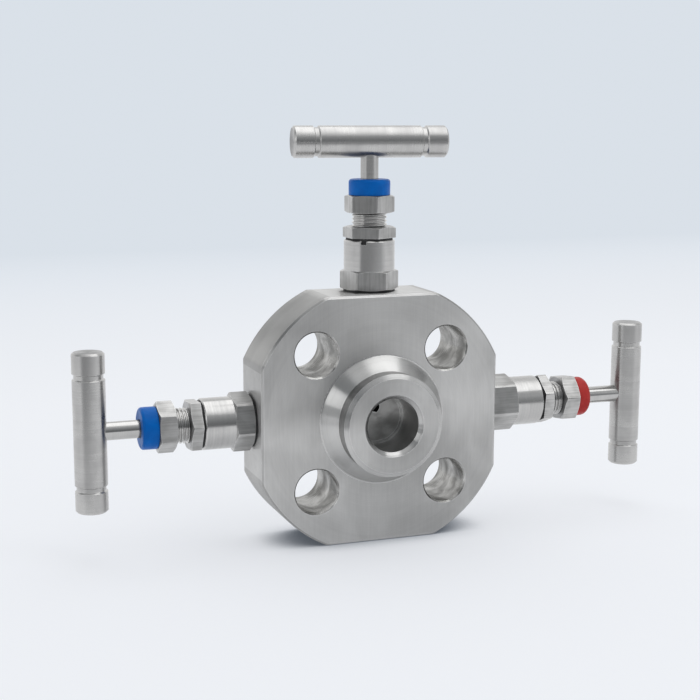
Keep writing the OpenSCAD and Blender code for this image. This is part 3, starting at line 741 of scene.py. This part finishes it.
is_face = calc(tree, "GREATER_THAN", forward, FACE_NORMAL)
off_face = calc(tree, "SUBTRACT", 1.0, is_face)
is_flat = calc(tree, "GREATER_THAN", calc(tree, "MAXIMUM", sideways, upward), FLAT_NORMAL)
is_flat = calc(tree, "MULTIPLY", is_flat, calc(tree, "GREATER_THAN", radius, FLAT_FROM))
on_rim = calc(tree, "MULTIPLY", off_face, calc(tree, "GREATER_THAN", radius, RIM_FROM))
on_hub = calc(tree, "MULTIPLY", off_face, calc(tree, "LESS_THAN", radius, HUB_REACH))
in_bolt = calc(tree, "MULTIPLY", off_face, calc(tree, "LESS_THAN", from_bolt, BOLT_REACH))
in_port = calc(tree, "MULTIPLY", calc(tree, "LESS_THAN", radius, PORT_REACH),
               calc(tree, "GREATER_THAN", place.outputs["Y"], PORT_FRONT))
port_floor = calc(tree, "MULTIPLY", in_port, is_face)
print("hub up to", HUB_REACH, "m from the axis, flats from", FLAT_FROM, "m, rim from", RIM_FROM)

# %% The marks of each tool
CLOUD_SHARE = 0.60

rings = use_group(
    tree, turned, Position=spot, Centre=(0, 0, 0), Axis=(0, 1, 0), Rings_per_mm=1.3,
    Unevenness=0.5)
drilled = use_group(
    tree, turned, Position=quarter, Centre=(BOLT_OFFSET, 0, BOLT_OFFSET), Axis=(0, 1, 0),
    Rings_per_mm=0.9, Unevenness=0.7)
milled = use_group(tree, grain, Position=spot, Stretch=(1.0, 0.03, 1.0), Lines_per_mm=1.6)
brushed = use_group(tree, grain, Position=spot, Stretch=(1.0, 1.0, 0.04), Lines_per_mm=1.1)
clouds = use_group(tree, patches, Position=spot, Size_mm=26.0)
# Patches of painted shade for the inside of the bolt holes and the port's floor.
hole_shade = use_group(tree, patches, Position=spot, Size_mm=8.0).outputs["Cloud"]
worn_and_highlighted = use_group(tree, edges, Position=spot, Width=0.0004, Amount=0.9)
height = mix_value(tree, is_flat, rings.outputs["Height"], milled.outputs["Height"])
height = mix_value(tree, in_bolt, height, drilled.outputs["Height"])
half_brushed = mix_value(tree, 0.5, rings.outputs["Tone"], brushed.outputs["Tone"])
mark = mix_value(tree, is_face, rings.outputs["Tone"], half_brushed)
mark = mix_value(tree, is_flat, mark, milled.outputs["Tone"])
mark = mix_value(tree, in_bolt, mark, drilled.outputs["Tone"])
tone = calc(tree, "ADD", calc(tree, "MULTIPLY", mark, 1 - CLOUD_SHARE),
            calc(tree, "MULTIPLY", clouds.outputs["Cloud"], CLOUD_SHARE))
print("the tone is clouds by", CLOUD_SHARE, "and tool marks for the rest")

# %% [markdown]
# ## Colours of the block
# Steel has hardly any colour, so these pairs are tones: each place gets a dark and a light one, and
# the marks and clouds move between them. The bolt holes have the widest pair and the port's floor a
# dark one, and patches of painted shade move them between it, for the inside of the holes. Edges
# are brightest, for wear and as a painted highlight.

# %% Tones for each place
FACE_TONES = (0.48, 0.478, 0.472, 1), (0.62, 0.618, 0.61, 1)
RIM_TONES = (0.36, 0.358, 0.352, 1), (0.50, 0.498, 0.49, 1)
# Painted shade: the bolt holes and the port's floor get darker tones for the inside of the holes.
BOLT_SHADE_TONES = (0.18, 0.178, 0.168, 1), (0.58, 0.575, 0.56, 1)
PORT_FLOOR_SHADE_TONES = (0.26, 0.258, 0.25, 1), (0.46, 0.458, 0.45, 1)

base = mix_colour(tree, tone, *FACE_TONES)
base = mix_colour(tree, on_rim, base, mix_colour(tree, tone, *RIM_TONES))
# Painted shade inside the bolt holes and on the port's floor.
base = mix_colour(tree, in_bolt, base, mix_colour(tree, hole_shade, *BOLT_SHADE_TONES))
base = mix_colour(tree, port_floor, base, mix_colour(tree, hole_shade, *PORT_FLOOR_SHADE_TONES))
# Edges take the bright colour, for wear and as a painted highlight.
base = mix_colour(tree, worn_and_highlighted.outputs["Mask"], base, STEEL_WORN_AND_HIGHLIGHTED)
tree.links.new(base, shader.inputs["Base Color"])
print("face tones", FACE_TONES[0][0], "to", FACE_TONES[1][0])

# %% [markdown]
# ## Sheen of the block
# The face's rings fan the light out from the hub into light and dark sectors, which is the
# strongest look of the photo. As on the cylinders, that is anisotropy, here nearly at its full
# strength and with the tangent running round the flange's axis.

# %% Roughness, anisotropy and bump
FACE_SPREAD = 0.97
MARK_DEPTH = 0.000014
EXTRA_BOLT_DEPTH = 3.0
# Roughness at a dark and at a light tone, and for the port on its wall and on its floor.
FACE_DULL = (0.37, 0.32)
HUB_DULL = (0.27, 0.21)
BOLT_DULL = (0.30, 0.18)
PORT_DULL = (0.18, 0.40)
WORN_EDGE_DULL = 0.18

dull = remap(tree, tone, 0.0, 1.0, *FACE_DULL)
dull = mix_value(tree, on_hub, dull, remap(tree, tone, 0.0, 1.0, *HUB_DULL))
dull = mix_value(tree, in_port, dull, mix_value(tree, is_face, *PORT_DULL))
dull = mix_value(tree, in_bolt, dull, remap(tree, tone, 0.0, 1.0, *BOLT_DULL))
dull = mix_value(tree, worn_and_highlighted.outputs["Mask"], dull, WORN_EDGE_DULL)
tree.links.new(dull, shader.inputs["Roughness"])
shader.inputs["Metallic"].default_value = 1.0
shader.inputs["Anisotropic"].default_value = FACE_SPREAD
shader.inputs["Anisotropic Rotation"].default_value = ACROSS_THE_RINGS
round_the_axis = add_node(tree, "Tangent", direction_type="RADIAL", axis="Y").outputs[0]
tree.links.new(round_the_axis, shader.inputs["Tangent"])
height = calc(
    tree, "MULTIPLY", height, calc(tree, "MULTIPLY_ADD", in_bolt, EXTRA_BOLT_DEPTH, 1.0))
bump(tree, shader, height, MARK_DEPTH)
print("block steel has", len(tree.nodes), "nodes")

# %% [markdown]
# ## The T-bars
# Each T-bar was turned on its own axis and left with a satin cut. The two side bars stand
# upright and the top bar lies nearly along X, turned by eight degrees as it was left. Their
# marks could be given by hand for each bar. Here the middle of each node's box tells where its
# axis passes, so the rings stay on the bar even if the CAD model moves it.

# %% The T-bars' steel
def middle_of(name):
    """The middle of a CAD node's box."""
    low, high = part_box(name)
    return (Vector(low) + Vector(high)) / 2

BAR_TURN = math.radians(-8)
bar_axes = {
    "inlet": (0, 0, 1),
    "instrument": (math.cos(BAR_TURN), math.sin(BAR_TURN), 0),
    "vent": (0, 0, 1)}
bar_steels = {}
for valve, axis in bar_axes.items():
    centre = middle_of(valve + "_t_bar")
    bar_steels[valve] = turned_steel(
        "bar_steel_" + valve, tuple(centre), axis, rough=0.29, rings_per_mm=1.5, depth=0.000008)
    print(valve, "T-bar axis passes", [round(1000 * c, 1) for c in centre])

# %% [markdown]
# ## Plastic caps and black rings
# The caps are moulded in coloured plastic: smooth, a little waxy, with a very fine texture from
# the mould. The rings are black rubber, dull and slightly dusty. Both are non-metals, so the
# colour sits in the base and the shine stays white. A flat colour would look like paint, so
# clouds and a speckle move the colour, the roughness and the surface a little. In the photo the
# stems and T-bars hardly show the caps' colours. Seen by a glossy ray the plastic is
# therefore darker, and Light Path tells such a ray from the camera's own.

# %% Moulded plastic
PLASTIC_IN_STEEL = (0.045, 0.045, 0.055, 1)
DIMMED_IN_STEEL = 0.7
PLASTIC_SHINE = 0.12
# Roughness between the clouds and in them, and the depth of the grain in metres.
PLASTIC_DULL = (0.42, 0.30)
PLASTIC_GRAIN = 0.000012

def moulded_plastic(name, deep, light):
    """Moulded plastic with a fine texture, soft sheen changes, and edges painted slightly paler for
    wear and as a painted highlight.
    """
    made, tree, shader, spot = start_material(name)
    clouds = use_group(tree, patches, Position=spot, Size_mm=6.0)
    worn_and_highlighted = use_group(tree, edges, Position=spot, Width=0.0005, Amount=0.5)
    base = mix_colour(tree, calc(tree, "MULTIPLY", clouds.outputs["Cloud"], 0.5), deep, light)
    # Edges turn paler, for wear and as a painted highlight.
    base = mix_colour(tree, worn_and_highlighted.outputs["Mask"], base, light)
    mirrored = calc(
        tree, "MULTIPLY", add_node(tree, "LightPath").outputs["Is Glossy Ray"], DIMMED_IN_STEEL)
    tree.links.new(
        mix_colour(tree, mirrored, base, PLASTIC_IN_STEEL), shader.inputs["Base Color"])
    tree.links.new(
        remap(tree, clouds.outputs["Cloud"], 0.0, 1.0, *PLASTIC_DULL), shader.inputs["Roughness"])
    shader.inputs["Specular IOR Level"].default_value = PLASTIC_SHINE
    bump(tree, shader, clouds.outputs["Speckle"], PLASTIC_GRAIN)
    return made

print("the plastic's roughness goes from", PLASTIC_DULL[0], "to", PLASTIC_DULL[1])

# %% Black rubber
RUBBER_BLACK = (0.010, 0.010, 0.011, 1)
RUBBER_DUSTY = (0.030, 0.030, 0.031, 1)
RUBBER_DULL = (0.75, 0.55)
RUBBER_GRAIN = 0.00003

def black_rubber(name):
    """Dull black rubber with a fine grain and a trace of dust."""
    made, tree, shader, spot = start_material(name)
    clouds = use_group(tree, patches, Position=spot, Size_mm=4.0)
    base = mix_colour(tree, clouds.outputs["Cloud"], RUBBER_BLACK, RUBBER_DUSTY)
    tree.links.new(base, shader.inputs["Base Color"])
    tree.links.new(
        remap(tree, clouds.outputs["Speckle"], 0.0, 1.0, *RUBBER_DULL), shader.inputs["Roughness"])
    bump(tree, shader, clouds.outputs["Speckle"], RUBBER_GRAIN)
    return made

print("the rubber's roughness goes from", RUBBER_DULL[0], "to", RUBBER_DULL[1])

# %% [markdown]
# ## The caps' colours, the rings and the packing
# Blue marks the two block valves and red the vent. Each plastic goes from a deep to a light
# tone of its colour. The packing inside is white and slightly waxy. It is hidden, but a piece
# that is taken apart or cut open should have its finish too.

# %% Blue, red, black and white
BLUE_TONES = (0.0, 0.118, 0.47, 1), (0.0, 0.17, 0.63, 1)
RED_TONES = (0.42, 0.030, 0.028, 1), (0.60, 0.060, 0.055, 1)
PACKING_TONES = (0.72, 0.71, 0.68, 1), (0.80, 0.79, 0.77, 1)
PACKING_DULL = (0.40, 0.55)
PACKING_GRAIN = 0.00001

blue_plastic = moulded_plastic("cap_blue", *BLUE_TONES)
red_plastic = moulded_plastic("cap_red", *RED_TONES)
rubber = black_rubber("black_rubber")
packing_white, tree, shader, spot = start_material("packing_white")
clouds = use_group(tree, patches, Position=spot, Size_mm=3.0)
tree.links.new(
    mix_colour(tree, clouds.outputs["Cloud"], *PACKING_TONES), shader.inputs["Base Color"])
tree.links.new(
    remap(tree, clouds.outputs["Speckle"], 0.0, 1.0, *PACKING_DULL), shader.inputs["Roughness"])
bump(tree, shader, clouds.outputs["Speckle"], PACKING_GRAIN)
soft_finishes = (blue_plastic, red_plastic, rubber, packing_white)
print("plastic, rubber and packing:", [finish.name for finish in soft_finishes])

# %% [markdown]
# ## The block with its seats open
# Inside the block each valve bore steps down from a flat-floored chamber to a cone, the seat
# that the needle closes. In the CAD model the two cuts only touch each other, and that leaves a
# skin of no thickness across the cone's mouth. A Boolean modifier could punch it out, but it would
# leave a thin lip, so a copy of the block's mesh stands for the node here. The faces in each
# mouth's plane come out, and the floor is filled again as a ring between the chamber's
# edge and the cone's.

# %% Taking the skin out of a seat
CHAMBER_FLOOR = 0.0255919
CHAMBER_RADIUS = 0.006
FLOOR_TOLERANCE = 0.000012
RADIUS_SLACK = 1.01
OUTWARD = {"inlet": Vector((-1, 0, 0)), "instrument": Vector((0, 0, 1)), "vent": Vector((1, 0, 0))}

def in_chamber_floor(corner, outward):
    """Whether a corner lies in the plane of a chamber's floor, inside the chamber."""
    spot = corner.co - Vector((0, PLANE_Y, 0))
    out = spot.dot(outward)
    beside = (spot - outward * out).length
    near_floor = abs(out - CHAMBER_FLOOR) < FLOOR_TOLERANCE
    return near_floor and beside < CHAMBER_RADIUS * RADIUS_SLACK

def open_seat(shape, outward):
    """Takes out the faces across a seat's mouth and fills the floor round it."""
    skin = [face for face in shape.faces
            if all(in_chamber_floor(corner, outward) for corner in face.verts)]
    bmesh.ops.delete(shape, geom=skin, context="FACES")
    rims = [edge for edge in shape.edges if edge.is_boundary]
    filled = bmesh.ops.triangle_fill(shape, use_beauty=True, edges=rims, normal=outward)["geom"]
    floor = [item for item in filled if isinstance(item, bmesh.types.BMFace)]
    return len(skin), len(floor)

print("seats to open:", sorted(OUTWARD), "at", CHAMBER_FLOOR, "m from the middle")

# %% A copy of the block without the skins
JOIN_WITHIN = 0.000002

def block_with_open_seats(node):
    """A copy of the block's node whose three seats are open, standing for the node."""
    shape = bmesh.new()
    shape.from_mesh(node.data)
    bmesh.ops.remove_doubles(shape, verts=shape.verts, dist=JOIN_WITHIN)
    for valve, outward in OUTWARD.items():
        print(valve, "seat: faces taken out and put in", open_seat(shape, outward))
    bmesh.ops.recalc_face_normals(shape, faces=shape.faces)
    print("edges that don't join two faces", sum(not edge.is_manifold for edge in shape.edges))
    mesh = node.data.copy()
    shape.to_mesh(mesh)
    shape.free()
    block = bpy.data.objects.new("flange_block", mesh)
    bpy.context.scene.collection.objects.link(block)
    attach(block, "valve_block")
    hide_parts("flange_body")
    return block

shown = dict(nodes)
shown["flange_body"] = block_with_open_seats(nodes["flange_body"])

# %% [markdown]
# ## Each CAD node gets its finish
# The solids keep their exact meshes. A finish goes into the material slot that the packed
# model already holds. A real edge is never perfectly sharp, and it catches a thin line of light.
# It could be rounded in the CAD model, at the cost of many small faces in every check. Here three
# modifiers do it without touching the mesh: Weld joins the corners that the file format splits,
# Bevel rounds every sharp edge by a few tenths of a millimetre, and Weighted Normal keeps
# the large faces flat in their shading.

# %% Helpers for finishes and rounded edges
def set_finish(node, material):
    """Puts a material in every slot of a CAD node."""
    if not node.material_slots:
        node.data.materials.append(material)
    for held in node.material_slots:
        held.material = material

def round_edges(node, width, from_angle):
    """Welds split corners and rounds the edges that are sharper than an angle in degrees."""
    weld = node.modifiers.new("weld", "WELD")
    weld.merge_threshold = JOIN_WITHIN
    rounding = node.modifiers.new("rounding", "BEVEL")
    rounding.width = width
    rounding.segments = 2
    rounding.limit_method = "ANGLE"
    rounding.angle_limit = math.radians(from_angle)
    shading = node.modifiers.new("shading", "WEIGHTED_NORMAL")
    shading.mode = "FACE_AREA_WITH_ANGLE"
    shading.weight = 80
    shading.keep_sharp = False

def finish_of(name):
    """The finish of a CAD node, by the valve and the piece in its name."""
    valve = name.split("_")[0]
    piece = name[len(valve) + 1:]
    alike = {
        "needle": "stem", "packing_washer": "gland", "follower": "gland", "grub_screw": "gland"}
    return valve_steels.get((valve, alike.get(piece, piece))) or {
        "t_bar": bar_steels.get(valve), "seal_ring": rubber, "dust_ring": rubber,
        "packing_rings": packing_white, "cap": red_plastic if valve == "vent" else blue_plastic,
    }[piece]

print("the inlet cap's finish is", finish_of("inlet_cap").name)

# %% Every node dressed
# For each kind of piece the width of the rounding in metres, and the angle that it starts from.
EDGE_ROUNDING = {
    "bonnet": (0.00022, 15.5), "gland": (0.00020, 15.5), "lock_nut": (0.00018, 15.5),
    "t_bar": (0.00012, 30), "cap": (0.00025, 30), "body": (0.00025, 30)}
for name, node in shown.items():
    set_finish(node, block_steel if name == "flange_body" else finish_of(name))
    rounding = EDGE_ROUNDING.get(name.split("_", 1)[1])
    if rounding:
        round_edges(node, *rounding)
    print(name, len(node.data.vertices), "corners, rounding", rounding)

# %% [markdown]
# ## The gland threads
# Between the lock nut and the gland's hexagon a few turns of thread stay bare. In the CAD model
# that length is a plain shank at the thread's root. A bump could draw rings on it, but the
# photo shows the thread's teeth against the background, so it has to be a real shape. A Screw
# modifier could sweep an outline, and mesh code does the same with every size in view: the outline
# is moved round the axis and along it at the same time. The two ends of the ridge lie
# hidden inside the nut and the hexagon.

# %% Where each thread runs
THREAD_PITCH = 0.0015
THREAD_ROOT = 0.00672
THREAD_CREST = 0.00752
# The ridge's outline: a distance from the axis, and a share of the pitch along it.
OUTLINE = [
    (THREAD_ROOT, -0.48), (THREAD_CREST, -0.07), (THREAD_CREST, 0.07), (THREAD_ROOT, 0.48)]
# Where the ridge begins and ends, in metres from the flange's axis.
bare_thread = {
    "inlet": (0.0803, 0.0869), "instrument": (0.0803, 0.0869), "vent": (0.0853, 0.0919)}

def put_on_valve(valve, across, depth, out):
    """A point beside a valve's axis, in the shared frame. Out counts from the flange's axis."""
    return {
        "inlet": (-out, PLANE_Y + depth, across), "instrument": (across, PLANE_Y + depth, out),
        "vent": (out, PLANE_Y + depth, -across)}[valve]

for valve, (begin, finish) in bare_thread.items():
    print(valve, "thread:", round((finish - begin) / THREAD_PITCH, 1), "turns")

# %% The mesh of a ridge
STEPS_A_TURN = 72
SHARP_FROM = math.radians(25)

def ridge_mesh(valve, begin, finish):
    """A closed ridge that winds round a gland with the thread's pitch."""
    steps = int((finish - begin) / THREAD_PITCH * STEPS_A_TURN)
    shape = bmesh.new()
    rows = []
    for step in range(steps + 1):
        angle = math.tau * step / STEPS_A_TURN
        out = begin + THREAD_PITCH * step / STEPS_A_TURN
        rows.append([
            shape.verts.new(put_on_valve(
                valve, radius * math.cos(angle), radius * math.sin(angle),
                out + shift * THREAD_PITCH))
            for radius, shift in OUTLINE])
    for near, far in zip(rows, rows[1:]):
        for i in range(4):
            j = (i + 1) % 4
            shape.faces.new((near[i], near[j], far[j], far[i]))
    shape.faces.new(rows[0])
    shape.faces.new(rows[-1][::-1])
    bmesh.ops.recalc_face_normals(shape, faces=shape.faces)
    for face in shape.faces:
        face.smooth = True
    for edge in shape.edges:
        if edge.calc_face_angle(0) > SHARP_FROM:
            edge.smooth = False
    mesh = bpy.data.meshes.new(valve + "_gland_thread")
    shape.to_mesh(mesh)
    shape.free()
    return mesh

print("a ridge takes", STEPS_A_TURN, "steps a turn")

# %% One ridge for each gland
for valve, (begin, finish) in bare_thread.items():
    mesh = ridge_mesh(valve, begin, finish)
    mesh.materials.append(valve_steels[valve, "gland"])
    ridge = bpy.data.objects.new(valve + "_gland_thread", mesh)
    bpy.context.scene.collection.objects.link(ridge)
    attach(ridge, "valve_block")
    print(ridge.name, len(mesh.polygons), "faces")

# %% [markdown]
# ## Sizes for the record
# The dressed model has to stay inside the CAD model's box. The dressed model could be held
# against the CAD model's box by eye in the viewport, but numbers show a tenth of a millimetre,
# so the CAD model's box is written down.

# %% Sizes and the end
print("CAD box", [[round(v, 5) for v in c] for c in cad_box])
